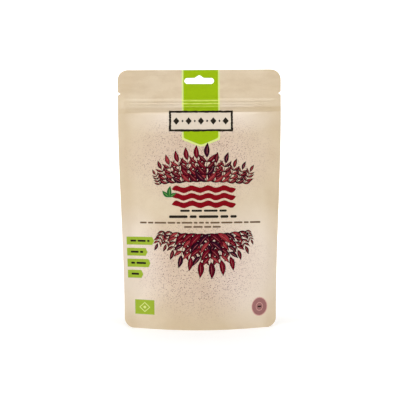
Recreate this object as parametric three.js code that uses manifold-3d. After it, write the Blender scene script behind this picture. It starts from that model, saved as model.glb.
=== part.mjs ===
// A filled stand-up pouch of kraft-paper film, 130 x 207 mm flat with an 80 mm bottom gusset, with the dried seaweed that it holds.
// It is three sheets of film, welded along their edges, and a press-to-close zip of two plastic strips between them.
// Millimetres, +Z up, the printed front towards -Y. The origin is the middle of the foot that the pouch stands on.
import * as THREE from "three";
import { mergeVertices } from "three/addons/utils/BufferGeometryUtils.js";
import Module from "manifold-3d";

const wasm = await Module();
wasm.setup();

// The flat pouch, as it is made. u runs across a panel from its middle, v up it from its bottom edge.
const FLAT_WIDTH = 130;
const FLAT_HEIGHT = 207;
const SIDE_SEAL = 7;
const CORNER_RADIUS = 8;
const FILM = 0.25;
const HALF_FLAT = FLAT_WIDTH / 2;
const FREE = HALF_FLAT - SIDE_SEAL;

// How the filled pouch stands: its half depth at the foot, and how the bulge dies out below the zip.
const FOOT_HALF_DEPTH = 20;
const BULGE_TOP = 174;
const BULGE_POWER = 1.88;
const ARCH_POWER = 2.2;
const ARCH_SOFTNESS = 1.25;

// The bottom gusset, folded upwards between the panels, and the round seal along its edge.
const GUSSET_LEAF = 40;
const FOOT_SEAL = 6;
const LEAF_END = 39.4;
const GUSSET_SAG = 1.2;

// Room between the panels' inner faces and the pouch's middle plane, where layers lie flat on each other.
const WELD_GAP = 0.06;
const LEAF_ROOM = 0.34;
const LEAF_GAP = 0.1;
const FLANGE_ROOM = 0.44;
const PROFILE_ROOM = 0.85;

// The zip: its flanges and the interlocking profile, by height on the flat panel.
const FLANGE = [174.5, 185.5];
const PROFILE = [178.8, 182.8];
const FLANGE_THICK = 0.3;
const FLANGE_FACE = 0.42;
const PROFILE_FACE = 1.27;

// The hang hole, by height below the top edge, and the tear notches.
const SLOT_WIDTH = 23.6;
const SLOT_HEIGHT = 4.7;
const SLOT_FLOOR = 11.2;
const HUMP_HEIGHT = 2.1;
const HUMP_HALF = 4.2;
const NOTCH_HEIGHT = 188.2;
const NOTCH_DEEP = 2.2;
const NOTCH_HALF = 1.4;

// The dried fronds fill an oval of this middle and these half sizes, in layers across the pouch's depth.
const FILL_MIDDLE = { x: 0, z: 90 };
const FILL_HALF = { x: 38, z: 45 };
const BLADE = 0.6;
const WALL_MARGIN = 1.4;
const SEED = 7;

// Where a sheet's rows and columns of points lie.
const HALF_COLUMNS = [8, 16, 24, 32, 39, 45, 50, 54, 57, 58.5, 61, 65];
const COLUMNS = [...HALF_COLUMNS.map((u) => -u).reverse(), 0, ...HALF_COLUMNS];
const FOOT_ROWS = [0, 3, 6, 14, 24, 34, 40, 46];
const BODY_ROWS = [56, 68, 80, 92, 104, 116, 127, 137, 147, 156, 164, 169];
const FLANGE_STEPS = [FLANGE[0] - 1.3, FLANGE[0] - 0.1, FLANGE[1] + 0.3, FLANGE[1] + 1.5];
const PROFILE_STEPS = [PROFILE[0] - 1, PROFILE[0], PROFILE[1], PROFILE[1] + 1];
const ZIP_ROWS = [...FLANGE_STEPS.slice(0, 2), ...PROFILE_STEPS, ...FLANGE_STEPS.slice(2)];
const ROWS = [...FOOT_ROWS, ...BODY_ROWS, ...ZIP_ROWS, 194, FLAT_HEIGHT];

const COLOURS = { film: 0xd9c6a8, gusset: 0xcdb792, zip: 0xe9e6dc, dulse: 0x4a1420 };

// 0 below low, 1 above high, with a soft start and end.
function smooth(low, high, x) {
  const t = Math.min(1, Math.max(0, (x - low) / (high - low)));
  return t * t * (3 - 2 * t);
}

// 0 outside the first and last of four heights, and 1 between the middle two.
function plateau([start, full, end, none], v) {
  return smooth(start, full, v) * (1 - smooth(end, none, v));
}

// How far the middle of a panel stands out from the pouch's middle plane at height v.
function bulge(v) {
  return v < BULGE_TOP ? FOOT_HALF_DEPTH * (1 - (v / BULGE_TOP) ** BULGE_POWER) : 0;
}

// The arch of a panel between its side seals, from 1 in the middle to 0 at t = 1, with a soft crease there.
function arch(t) {
  return Math.max(0, 1 - Math.abs(t) ** ARCH_POWER) ** ARCH_SOFTNESS;
}

// The room that the layers between the panels take up on each side of the middle plane: the gusset's folded edge
// in the side seals, and the zip.
function layerRoom(u, v) {
  const leaf = LEAF_ROOM * (1 - smooth(40, 46, v)) * smooth(45, FREE, Math.abs(u));
  const flange = FLANGE_ROOM * plateau(FLANGE_STEPS, v);
  const profile = PROFILE_ROOM * plateau(PROFILE_STEPS, v);
  const inside = 1 - smooth(FREE, 61, Math.abs(u));
  return WELD_GAP + leaf + (flange + profile) * inside;
}

// Height above the table of each whole millimetre of the flat panel, which leans as it bulges.
const RISE = [0];
for (let v = 0; v < FLAT_HEIGHT; v += 1) {
  const lean = bulge(v) - bulge(v + 1);
  RISE.push(RISE[v] + Math.sqrt(1 - lean * lean));
}

function heightAt(v) {
  const below = Math.min(Math.floor(v), FLAT_HEIGHT - 1);
  return RISE[below] + (v - below) * (RISE[below + 1] - RISE[below]);
}

const TOP = heightAt(FLAT_HEIGHT);

// The panel's section at height v: half the chord between the side seals, and how far along it each millimetre of film gets.
// The film doesn't stretch, so the chord is what brings the arch to the film's own width.
const ARC_STEPS = 60;
const sections = new Map();

function arcTo(halfChord, depth) {
  const lengths = [0];
  for (let i = 1; i <= ARC_STEPS; i += 1) {
    const across = halfChord / ARC_STEPS;
    const out = depth * (arch(i / ARC_STEPS) - arch((i - 1) / ARC_STEPS));
    lengths.push(lengths[i - 1] + Math.hypot(across, out));
  }
  return lengths;
}

function sectionAt(v) {
  if (!sections.has(v)) {
    const depth = bulge(v);
    let low = FREE / 2;
    let high = FREE;
    for (let i = 0; i < 40; i += 1) {
      const middle = (low + high) / 2;
      if (arcTo(middle, depth)[ARC_STEPS] > FREE) high = middle;
      else low = middle;
    }
    sections.set(v, { halfChord: low, depth, lengths: arcTo(low, depth) });
  }
  return sections.get(v);
}

// A point of the panel's inner face in plan: x, and how far it stands out from the middle plane.
function innerPoint(u, v) {
  const { halfChord, depth, lengths } = sectionAt(v);
  const along = Math.abs(u);
  const side = Math.sign(u);
  if (along >= FREE) return { x: side * (halfChord + along - FREE), out: layerRoom(u, v) };
  let i = 1;
  while (lengths[i] < along) i += 1;
  const part = (along - lengths[i - 1]) / (lengths[i] - lengths[i - 1]);
  const t = (i - 1 + part) / ARC_STEPS;
  return { x: side * halfChord * t, out: depth * arch(t) + layerRoom(u, v) };
}

// The point of a panel that lies off its inner face by this much, along its own normal.
function panelPoint(u, v, off) {
  const step = 0.4;
  const before = innerPoint(Math.max(-HALF_FLAT, u - step), v);
  const after = innerPoint(Math.min(HALF_FLAT, u + step), v);
  const here = innerPoint(u, v);
  const run = Math.hypot(after.x - before.x, after.out - before.out);
  const flat = Math.abs(u) >= 61;
  const nx = flat ? 0 : -(after.out - before.out) / run;
  const nOut = flat ? 1 : (after.x - before.x) / run;
  return new THREE.Vector3(here.x + nx * off, -(here.out + nOut * off), heightAt(v));
}

// A closed sheet between two grids of points. Rows run up and columns to the right, seen from the side that face is on.
function sheetGeometry(face, back) {
  const rows = face.length;
  const columns = face[0].length;
  const points = [...face.flat(), ...back.flat()];
  const triangles = [];
  const at = (side, j, i) => side * rows * columns + j * columns + i;
  const quad = (a, b, c, d) => triangles.push(a, b, c, a, c, d);
  for (let j = 0; j + 1 < rows; j += 1) {
    for (let i = 0; i + 1 < columns; i += 1) {
      quad(at(0, j, i), at(0, j, i + 1), at(0, j + 1, i + 1), at(0, j + 1, i));
      quad(at(1, j, i), at(1, j + 1, i), at(1, j + 1, i + 1), at(1, j, i + 1));
    }
    quad(at(0, j, 0), at(0, j + 1, 0), at(1, j + 1, 0), at(1, j, 0));
    const last = columns - 1;
    quad(at(0, j, last), at(1, j, last), at(1, j + 1, last), at(0, j + 1, last));
  }
  for (let i = 0; i + 1 < columns; i += 1) {
    quad(at(0, 0, i), at(1, 0, i), at(1, 0, i + 1), at(0, 0, i + 1));
    const top = rows - 1;
    quad(at(0, top, i), at(0, top, i + 1), at(1, top, i + 1), at(1, top, i));
  }
  return meshGeometry(points, triangles);
}

function meshGeometry(points, triangles) {
  const geometry = new THREE.BufferGeometry().setFromPoints(points);
  geometry.setIndex(triangles);
  return geometry;
}

function solidOf(geometry) {
  const bare = new THREE.BufferGeometry();
  bare.setAttribute("position", geometry.getAttribute("position"));
  bare.setIndex(geometry.getIndex());
  const merged = mergeVertices(bare, 1e-4);
  const triVerts = new Uint32Array(merged.index.array);
  const vertProperties = merged.attributes.position.array;
  return new wasm.Manifold(new wasm.Mesh({ numProp: 3, vertProperties, triVerts }));
}

function geometryOf(solid) {
  const mesh = solid.getMesh();
  const geometry = new THREE.BufferGeometry();
  geometry.setAttribute("position", new THREE.BufferAttribute(mesh.vertProperties, 3));
  geometry.setIndex(new THREE.BufferAttribute(mesh.triVerts, 1));
  return geometry;
}

// A cutter: an outline in x and z, pushed through the whole depth of the pouch.
function cutter(shape, depth = 60) {
  const geometry = new THREE.ExtrudeGeometry(shape, { depth, bevelEnabled: false, curveSegments: 8 });
  geometry.rotateX(Math.PI / 2);
  geometry.translate(0, depth / 2, 0);
  return solidOf(geometry);
}

// What is punched away outside a rounded corner: turn is +1 or -1 for right or left, up is +1 or -1 for top or bottom.
function cornerCutter(edgeX, edgeZ, turn, up) {
  const over = 5;
  const middle = new THREE.Vector2(edgeX - turn * CORNER_RADIUS, edgeZ - up * CORNER_RADIUS);
  const arc = [];
  for (let i = 0; i <= 8; i += 1) {
    const angle = (i / 8) * (Math.PI / 2);
    const x = middle.x + turn * CORNER_RADIUS * Math.cos(angle);
    arc.push(new THREE.Vector2(x, middle.y + up * CORNER_RADIUS * Math.sin(angle)));
  }
  const outside = [
    new THREE.Vector2(middle.x, edgeZ + up * over),
    new THREE.Vector2(edgeX + turn * over, edgeZ + up * over),
    new THREE.Vector2(edgeX + turn * over, middle.y),
  ];
  return cutter(new THREE.Shape([...arc, ...outside]));
}

function slotCutter() {
  const floor = TOP - SLOT_FLOOR;
  const roof = floor + SLOT_HEIGHT;
  const end = SLOT_HEIGHT / 2;
  const straight = SLOT_WIDTH / 2 - end;
  const shape = new THREE.Shape();
  shape.moveTo(-straight, floor);
  shape.lineTo(straight, floor);
  shape.absarc(straight, floor + end, end, -Math.PI / 2, Math.PI / 2, false);
  for (let i = 0; i <= 10; i += 1) {
    const x = HUMP_HALF * (1 - i / 5);
    const rise = HUMP_HEIGHT * Math.cos((Math.PI / 2) * (x / HUMP_HALF)) ** 2;
    shape.lineTo(x, roof + rise);
  }
  shape.lineTo(-straight, roof);
  shape.absarc(-straight, floor + end, end, Math.PI / 2, (3 * Math.PI) / 2, false);
  return cutter(shape);
}

function notchCutter(turn) {
  const z = heightAt(NOTCH_HEIGHT);
  const shape = new THREE.Shape([
    new THREE.Vector2(turn * (HALF_FLAT - NOTCH_DEEP), z),
    new THREE.Vector2(turn * (HALF_FLAT + 1), z + NOTCH_HALF * 1.45),
    new THREE.Vector2(turn * (HALF_FLAT + 1), z - NOTCH_HALF * 1.45),
  ]);
  return cutter(shape);
}

const footEdge = sectionAt(0).halfChord + SIDE_SEAL;
const footCorners = [1, -1].map((turn) => cornerCutter(turn * footEdge, 0, turn, -1));
const headCorners = [1, -1].map((turn) => cornerCutter(turn * HALF_FLAT, TOP, turn, 1));

function punched(geometry, cutters) {
  return geometryOf(cutters.reduce((solid, tool) => solid.subtract(tool), solidOf(geometry)));
}

// One wall of the pouch. The front and back are cut from the same tool, so the back is the front turned round.
function panelGeometry() {
  const grid = (off) => ROWS.map((v) => COLUMNS.map((u) => panelPoint(u, v, off)));
  const notches = [notchCutter(1), notchCutter(-1)];
  return punched(sheetGeometry(grid(FILM), grid(0)), [...footCorners, ...headCorners, slotCutter(), ...notches]);
}

// The height up to which the gusset's leaf is welded to its panel: a round arch, low in the middle.
function weldHeight(u) {
  const t = Math.min(1, Math.abs(u) / FREE);
  return Math.min(LEAF_END, GUSSET_LEAF - (GUSSET_LEAF - FOOT_SEAL) * Math.sqrt(1 - t * t));
}

// The middle line of the gusset's front leaf at u, from the foot up to the fold.
function leafLine(u) {
  const inset = -(LEAF_GAP + FILM / 2);
  const weld = weldHeight(u);
  const line = [0, 0.5, 1].map((part) => panelPoint(u, part * weld, inset));
  const top = line[line.length - 1];
  const free = GUSSET_LEAF - weld;
  const rise = Math.sqrt(free * free - top.y * top.y);
  const sag = GUSSET_SAG * smooth(2, 20, free);
  for (const part of [0.25, 0.5, 0.75, 0.92, 1]) {
    const z = top.z + rise * part - sag * 4 * part * (1 - part);
    line.push(new THREE.Vector3(top.x, top.y * (1 - part), z));
  }
  return line;
}

// A line in the y-z plane moved sideways by off, its corners mitred.
function offsetLine(line, off) {
  return line.map((p, i) => {
    const before = line[Math.max(0, i - 1)];
    const after = line[Math.min(line.length - 1, i + 1)];
    const a = new THREE.Vector2(p.y - before.y, p.z - before.z).normalize();
    const b = new THREE.Vector2(after.y - p.y, after.z - p.z).normalize();
    const run = a.clone().add(b).normalize();
    const mitre = Math.min(2, 1 / Math.max(0.2, i ? run.dot(b.length() ? b : a) : 1));
    return new THREE.Vector3(p.x, p.y - run.y * off * mitre, p.z + run.x * off * mitre);
  });
}

// The bottom gusset: one sheet from the front foot up to the fold and down to the back foot.
function gussetGeometry() {
  const profiles = COLUMNS.map((u) => {
    const front = leafLine(u);
    const back = front.slice(0, -1).reverse().map((p) => new THREE.Vector3(p.x, -p.y, p.z));
    return [...front, ...back];
  });
  const side = (off) => {
    const moved = profiles.map((line) => offsetLine(line, off));
    for (const line of moved) {
      line[0].z = 0;
      line[line.length - 1].z = 0;
    }
    return moved[0].map((_, j) => moved.map((line) => line[j]));
  };
  return punched(sheetGeometry(side(FILM / 2), side(-FILM / 2)), footCorners);
}

// A zip strip: its section in depth and height, drawn through the pouch from side seal to side seal.
function stripGeometry(section) {
  const length = 2 * (FREE - 0.5);
  const shape = new THREE.Shape(section.map(([out, v]) => new THREE.Vector2(out, heightAt(v))));
  const geometry = new THREE.ExtrudeGeometry(shape, { depth: length, bevelEnabled: false });
  const turn = new THREE.Matrix4().makeBasis(
    new THREE.Vector3(0, 1, 0),
    new THREE.Vector3(0, 0, 1),
    new THREE.Vector3(1, 0, 0),
  );
  geometry.applyMatrix4(turn);
  geometry.translate(-length / 2, 0, 0);
  return geometryOf(solidOf(geometry));
}

// The flange that both strips share, seen as depth from the middle plane: side is -1 for the front, +1 for the back.
function stripSection(side, profile) {
  const outer = side * FLANGE_FACE;
  const inner = side * (FLANGE_FACE - FLANGE_THICK);
  const raised = side * PROFILE_FACE;
  return [
    [inner, FLANGE[0]],
    [outer, FLANGE[0]],
    [outer, PROFILE[0] - 0.3],
    [raised, PROFILE[0]],
    [raised, PROFILE[1]],
    [outer, PROFILE[1] + 0.3],
    [outer, FLANGE[1]],
    [inner, FLANGE[1]],
    [inner, PROFILE[1] + 0.25],
    ...profile.map(([out, up]) => [out, PROFILE[0] + up]),
    [inner, PROFILE[0] - 0.25],
  ];
}

// Two hooked jaws on the front strip, which close on the arrow of the back strip: depth, and height above the profile's foot.
const JAWS = [
  [0.5, 4], [0.5, 2.7], [0.1, 2.7], [0.1, 3.4], [-0.95, 3.4],
  [-0.95, 0.6], [0.1, 0.6], [0.1, 1.3], [0.5, 1.3], [0.5, 0],
];
const ARROW = [
  [0.95, 3.7], [0.95, 2.35], [-0.2, 2.35], [-0.2, 2.95], [-0.7, 2.2],
  [-0.7, 1.8], [-0.2, 1.05], [-0.2, 1.65], [0.95, 1.65], [0.95, 0.3],
];

// A repeatable random number from 0 to 1.
function randomFrom(seed) {
  let state = seed;
  return () => {
    state = (state * 1103515245 + 12345) % 2147483648;
    return state / 2147483648;
  };
}

// Half the depth of the space between the walls at x and z, less a margin.
function roomAt(x, z) {
  const { halfChord, depth } = sectionAt(Math.round(z));
  return depth * arch(x / halfChord) - WALL_MARGIN;
}

// How far it is from a frond's root to the edge of the filled oval, in the direction of angle.
function reachOf(root, angle) {
  const px = (root.x - FILL_MIDDLE.x) / FILL_HALF.x;
  const pz = (root.z - FILL_MIDDLE.z) / FILL_HALF.z;
  const dx = Math.cos(angle) / FILL_HALF.x;
  const dz = Math.sin(angle) / FILL_HALF.z;
  const a = dx * dx + dz * dz;
  const b = px * dx + pz * dz;
  const c = px * px + pz * pz - 1;
  return (-b + Math.sqrt(b * b - a * c)) / a;
}

// A dried frond: a hand-shaped blade that fans out of a short root in forked lobes, and is crinkled between its neighbours.
const LOBE = [0.5, 0.8, 1, 0.93, 0.98, 0.76];
const RINGS = [0.2, 0.45, 0.72, 1];

function frondGeometry({ root, heading, spread, lobes, layer }, random) {
  const outline = [];
  for (let k = 0; k < lobes; k += 1) {
    const long = 0.78 + 0.22 * random();
    const cleft = 0.72 + 0.5 * random();
    LOBE.forEach((share, i) => {
      const turn = (k + i / LOBE.length) / lobes - 0.5;
      const angle = heading + turn * spread;
      const reach = reachOf(root, angle) * long * (i ? share : share * cleft);
      outline.push({ angle, reach: Math.max(5, reach) });
    });
  }
  const stub = 5;
  const gap = (2 * Math.PI - spread) / 4;
  for (let i = 1; i < 4; i += 1) outline.push({ angle: heading + spread / 2 + gap * i, reach: stub });
  const phase = 6 * random();
  const place = (x, z, face) => {
    const room = roomAt(x, z);
    const shared = 0.06 * room * Math.sin(x / 9 + z / 13);
    const own = 0.025 * room * Math.sin(x / 6 - z / 7 + phase);
    return new THREE.Vector3(x, 0.8 * layer * room + shared + own + (face * BLADE) / 2, z);
  };
  const points = [];
  const triangles = [];
  const count = outline.length;
  const size = 1 + RINGS.length * count;
  for (const face of [-1, 1]) {
    points.push(place(root.x, root.z, face));
    for (const part of RINGS) {
      for (const { angle, reach } of outline) {
        const r = part * reach;
        points.push(place(root.x + r * Math.cos(angle), root.z + r * Math.sin(angle), face));
      }
    }
  }
  const ring = (side, k, i) => side * size + 1 + k * count + (i % count);
  const add = (side, a, b, c) => triangles.push(...(side ? [a, c, b] : [a, b, c]));
  for (let i = 0; i < count; i += 1) {
    for (const side of [0, 1]) {
      add(side, side * size, ring(side, 0, i), ring(side, 0, i + 1));
      for (let k = 0; k + 1 < RINGS.length; k += 1) {
        add(side, ring(side, k, i), ring(side, k + 1, i), ring(side, k + 1, i + 1));
        add(side, ring(side, k, i), ring(side, k + 1, i + 1), ring(side, k, i + 1));
      }
    }
    const rim = RINGS.length - 1;
    triangles.push(ring(0, rim, i), ring(1, rim, i), ring(1, rim, i + 1));
    triangles.push(ring(0, rim, i), ring(1, rim, i + 1), ring(0, rim, i + 1));
  }
  return geometryOf(solidOf(meshGeometry(points, triangles)));
}

// Six fronds, their roots round the edge of the fill and each in its own layer, from the front wall to the back.
const FRONDS = [
  { root: { x: -6, z: 50 }, heading: 1.5, spread: 3.9, lobes: 6, layer: -0.833 },
  { root: { x: 30, z: 82 }, heading: 3.0, spread: 4.0, lobes: 5, layer: -0.5 },
  { root: { x: -20, z: 120 }, heading: -1.1, spread: 3.8, lobes: 6, layer: -0.167 },
  { root: { x: 10, z: 52 }, heading: 1.75, spread: 4.0, lobes: 6, layer: 0.167 },
  { root: { x: -32, z: 88 }, heading: 0.1, spread: 3.9, lobes: 5, layer: 0.5 },
  { root: { x: 16, z: 122 }, heading: -1.9, spread: 4.0, lobes: 6, layer: 0.833 },
];

function material(color, roughness) {
  return new THREE.MeshStandardMaterial({ color, roughness, metalness: 0, side: THREE.DoubleSide });
}

function node(name, geometry, look) {
  const mesh = new THREE.Mesh(geometry, look);
  mesh.name = name;
  return mesh;
}

const film = material(COLOURS.film, 0.75);
const gussetFilm = material(COLOURS.gusset, 0.75);
const plastic = material(COLOURS.zip, 0.4);
const seaweed = material(COLOURS.dulse, 0.6);

const pouch = new THREE.Group();
const wall = panelGeometry();
const front = node("front_panel", wall, film);
const back = node("back_panel", wall, film);
back.rotation.z = Math.PI;
pouch.add(front, back);
pouch.add(node("bottom_gusset", gussetGeometry(), gussetFilm));
pouch.add(node("zip_groove_strip", stripGeometry(stripSection(-1, JAWS)), plastic));
pouch.add(node("zip_ridge_strip", stripGeometry(stripSection(1, ARROW)), plastic));

const random = randomFrom(SEED);
FRONDS.forEach((frond, i) => pouch.add(node(`dulse_frond_${i + 1}`, frondGeometry(frond, random), seaweed)));

export default pouch;
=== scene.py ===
# %% [markdown]
# # A filled kraft stand-up pouch
#
# The object is a small food pouch that stands on its own foot. It is made of three sheets of paper
# film: a front, a back, and a bottom gusset folded up between them. They are welded along their edges,
# and a press-to-close zip runs across the top.
#
# The CAD frame already holds every piece at its real size. This lesson gives the film its soft shape,
# its creases, its print and its finish, one step at a time.

# %% Load the fixed frame
import math
import random

import bpy
import numpy as np
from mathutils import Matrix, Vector
from mathutils.geometry import delaunay_2d_cdt


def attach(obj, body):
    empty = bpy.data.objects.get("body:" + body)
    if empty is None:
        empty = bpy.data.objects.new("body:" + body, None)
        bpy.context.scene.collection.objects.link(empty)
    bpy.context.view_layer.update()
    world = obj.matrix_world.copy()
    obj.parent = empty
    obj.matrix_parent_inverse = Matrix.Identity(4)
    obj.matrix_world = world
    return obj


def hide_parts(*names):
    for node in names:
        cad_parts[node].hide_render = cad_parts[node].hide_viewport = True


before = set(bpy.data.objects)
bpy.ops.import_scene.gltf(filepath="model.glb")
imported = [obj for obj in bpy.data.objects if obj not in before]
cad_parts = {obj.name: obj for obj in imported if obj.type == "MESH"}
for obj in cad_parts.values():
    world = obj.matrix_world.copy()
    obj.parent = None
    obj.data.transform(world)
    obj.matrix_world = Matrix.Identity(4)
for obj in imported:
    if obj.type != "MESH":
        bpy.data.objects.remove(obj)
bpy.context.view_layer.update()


print("nodes:", ", ".join(sorted(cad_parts)))

# %% [markdown]
# ## The flat pouch
#
# Film is printed, cut and welded flat, and only then filled. So everything on it is measured on the
# flat sheet: u runs across from the middle, and v runs up from the bottom edge. The drawing is in
# millimetres, as a packaging drawing is, and the meshes are turned into metres when they are made.
#
# A leaf is one half of the folded gusset. A room is how far a wall keeps off the middle plane for a
# layer that lies between the walls: the leaf, the zip's flange or its profile.

# %% Sizes of the flat pouch, in millimetres
MM = 0.001
WIDTH = 130
HEIGHT = 207
SEAL = 7
CORNER = 8
FILM = 0.2
EDGE = WIDTH / 2
FREE = EDGE - SEAL

FOOT_HALF_DEPTH = 20
BULGE_TOP = 174
BULGE_POWER = 1.88
ARCH_POWER = 2.2
ARCH_SOFTNESS = 1.25

LEAF = 40
LEAF_END = 39.4
FOOT_SEAL = 6
FLANGE = (174.5, 185.5)
PROFILE = (178.8, 182.8)
WELD_GAP = 0.06
LEAF_ROOM = 0.34
FLANGE_ROOM = 0.44
PROFILE_ROOM = 0.85


def smooth(low, high, x):
    """0 below low and 1 above high, with a soft start and end."""
    t = np.clip((x - low) / (high - low), 0, 1)
    return t * t * (3 - 2 * t)


def plateau(start, full, end, none, x):
    """1 between full and end, fading to 0 at start and none."""
    return smooth(start, full, x) * (1 - smooth(end, none, x))


def bell(middle, reach, x):
    """A soft bump, 1 in its middle and nearly 0 at twice its reach."""
    return np.exp(-(((x - middle) / reach) ** 2))


print(f"flat film {WIDTH} x {HEIGHT} mm, side seals {SEAL} mm")

# %% [markdown]
# ## How the film stands when the pouch is full
#
# Paper film bends but doesn't stretch. Where the contents push the wall out, the side seals come closer
# together, so that the arch between them keeps the film's own width. The same rule shapes the solids in
# the frame, and here it is worked out for thousands of points at once with numpy: for each height, a
# table says how far along the arch each millimetre of film gets.

# %% The arch of the wall at every height


def bulge(v):
    """How far the middle of a wall stands out at height v."""
    share = np.minimum(v, BULGE_TOP) / BULGE_TOP
    return FOOT_HALF_DEPTH * (1 - share**BULGE_POWER)


def arch(t):
    """The arch across a wall, from 1 in the middle to 0 at the seal, with a soft crease there."""
    return np.maximum(0, 1 - np.abs(t) ** ARCH_POWER) ** ARCH_SOFTNESS


LEVELS = np.linspace(0, HEIGHT, 2 * HEIGHT + 1)
STEPS = np.linspace(0, 1, 201)
HALVINGS = 40
depths = bulge(LEVELS)[:, None]


def arc_lengths(half_chord):
    """Length of film from the middle to each step of the arch, one row for each level."""
    across = half_chord[:, None] * np.diff(STEPS)
    out = depths * np.diff(arch(STEPS))
    runs = np.cumsum(np.hypot(across, out), axis=1)
    return np.hstack([np.zeros((len(LEVELS), 1)), runs])


shortest = np.full(len(LEVELS), FREE / 2)
longest = np.full(len(LEVELS), float(FREE))
for _ in range(HALVINGS):
    middle = (shortest + longest) / 2
    too_long = arc_lengths(middle)[:, -1] > FREE
    longest = np.where(too_long, middle, longest)
    shortest = np.where(too_long, shortest, middle)
half_chords = shortest
lengths = arc_lengths(half_chords)
arch_place = np.array([np.interp(STEPS * FREE, row, STEPS) for row in lengths])
lean = np.diff(depths[:, 0])
rises = np.concatenate([[0], np.cumsum(np.sqrt(np.diff(LEVELS) ** 2 - lean**2))])
TOP = float(rises[-1])
print(f"the pouch stands {TOP:.1f} mm tall, and its foot is {2 * (half_chords[0] + SEAL):.1f} mm wide")

# %% [markdown]
# ## Dents, puckers and creases
#
# A filled paper pouch is never smooth. Its wall has broad dents where the contents press, small puckers
# where the curved wall meets the straight side seals, and a few sharp creases from handling. They could
# be sculpted, but here each is a short formula, drawn with a seeded random generator, so that every run
# gives the same pouch. They are real shape, not only shading.

# %% Seeded dents and creases

FRONT_DENTS = 3
BACK_DENTS = 8
DENT_COUNT = 9
DENT_LENGTHS = (24, 62)
DENT_HEIGHTS = (0.08, 0.18)
CREASE_COUNT = 26
CREASE_DEPTH = 0.22
CREASE_WAYS = (0, math.pi / 2, 0.9, 2.2)


def dents(seed):
    """Broad waves: how fast each runs across and up the film, its phase and its height."""
    draw = random.Random(seed)
    waves = []
    for _ in range(DENT_COUNT):
        angle = draw.uniform(0, math.pi)
        length = draw.uniform(*DENT_LENGTHS)
        phase = draw.uniform(0, 1)
        height = draw.uniform(*DENT_HEIGHTS)
        waves.append((math.cos(angle) / length, math.sin(angle) / length, phase, height))
    return waves


def creases(seed):
    """Sharp soft-ended creases: start, direction, length, depth and width of each."""
    draw = random.Random(seed)
    lines = []
    for _ in range(CREASE_COUNT):
        side = draw.choice((-1, 1))
        start = (side * draw.uniform(14, 52), draw.uniform(18, 168))
        angle = draw.uniform(-0.5, 0.5) + draw.choice(CREASE_WAYS)
        length = draw.uniform(14, 34)
        depth = draw.uniform(-CREASE_DEPTH, CREASE_DEPTH)
        width = draw.uniform(1.2, 2.6)
        lines.append((start, angle, length, depth, width))
    return lines


print(f"{DENT_COUNT} dents and {CREASE_COUNT} creases on each wall")

# %% Add them up to one relief

RELIEF_SIDE = (0, 9)
RELIEF_FOOT = (3, 16)
RELIEF_TOP = (157, 171)
PUCKER_HEIGHT = 0.24
PUCKER_SPACING = 2.9
PUCKER_REACH = 7


def puckers(u, v, seed):
    """Short ripples that start at a side seal and fade inwards."""
    inward = FREE - np.abs(u)
    side = np.sign(u)
    wobble = 0.8 * np.sin(v / 23 + seed + side) + 0.5 * np.sin(v / 9.7 + 2 * seed * side)
    ripple = np.sin(v / PUCKER_SPACING + 2.2 * wobble + inward / PUCKER_REACH)
    return PUCKER_HEIGHT * (ripple * smooth(0, 3, inward) * np.exp(-inward / PUCKER_REACH))


def relief(u, v, seed):
    """How far the wall is pushed out or in along its own normal by its dents, puckers and creases."""
    body = smooth(*RELIEF_SIDE, FREE - np.abs(u)) * smooth(*RELIEF_FOOT, v) * (1 - smooth(*RELIEF_TOP, v))
    height = np.zeros_like(u)
    for across, up, phase, size in dents(seed):
        height += size * np.sin(2 * math.pi * (u * across + v * up + phase))
    height += puckers(u, v, seed)
    for (start_u, start_v), angle, length, depth, width in creases(seed + 100):
        along = (u - start_u) * math.cos(angle) + (v - start_v) * math.sin(angle)
        off = (v - start_v) * math.cos(angle) - (u - start_u) * math.sin(angle)
        ends = plateau(-0.5 * length, -0.1 * length, 0.1 * length, 0.5 * length, along)
        height += depth * ends * np.exp(-np.abs(off) / width)
    return height * body


sample = relief(np.linspace(-50, 50, 6), np.full(6, 90.0), FRONT_DENTS)
print("relief across the front 90 mm up, mm:", np.round(sample, 2))

# %% [markdown]
# ## The shoulder under the zip
#
# The zip is a stiff bar, and the filled wall under it isn't. So the wall springs out in a soft shoulder
# below the zip, and dips in a narrow tuck right under the zip's flange. Both only change with the
# height, so a curve for each is enough, faded out before the side seals.

# %% The shoulder and the tuck

SHOULDER_V = 159.5
SHOULDER_END = FLANGE[0] - 0.4
SHOULDER_BELOW = 17
SHOULDER_OUT = 2.6
SHOULDER_POWER = 2.2
SHOULDER_FADE = 16
TUCK_V = FLANGE[0] - 1.4
TUCK_HALF = 0.9
TUCK_DEPTH = 0.22
TUCK_FADE = 8


def shoulder(u, v):
    """The wall springs out below the stiff zip, and is tucked in just under the zip's flange."""
    inward = FREE - np.abs(u)
    above = 1 - np.clip((v - SHOULDER_V) / (SHOULDER_END - SHOULDER_V), 0, 1) ** SHOULDER_POWER
    hump = np.where(v > SHOULDER_V, above, bell(SHOULDER_V, SHOULDER_BELOW, v))
    tuck = bell(TUCK_V, TUCK_HALF, v)
    out = SHOULDER_OUT * hump * smooth(0, SHOULDER_FADE, inward)
    return out - TUCK_DEPTH * tuck * smooth(0, TUCK_FADE, inward)


print(f"the shoulder stands out {SHOULDER_OUT} mm at {SHOULDER_V} mm")

# %% [markdown]
# ## Where the walls bend together
#
# In the side seals and the header the two walls are welded to one sheet, and it is never quite flat.
# Both walls get the same slight wave there, because two different ones would cut through each other.
# The stiff zip keeps its stretch straight, and the fins of the side seals bend back a little.

# %% The sway of the fins and the header

FIN_BEND = 1.1
FIN_WAVES = ((0.34, 11, 1.3), (0.2, 5.1, 2))
HEADER_START = (187, 197)
ZIP_STRETCH = (161, 173, 187, 191)
ZIP_END = (59, 64)


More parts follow.
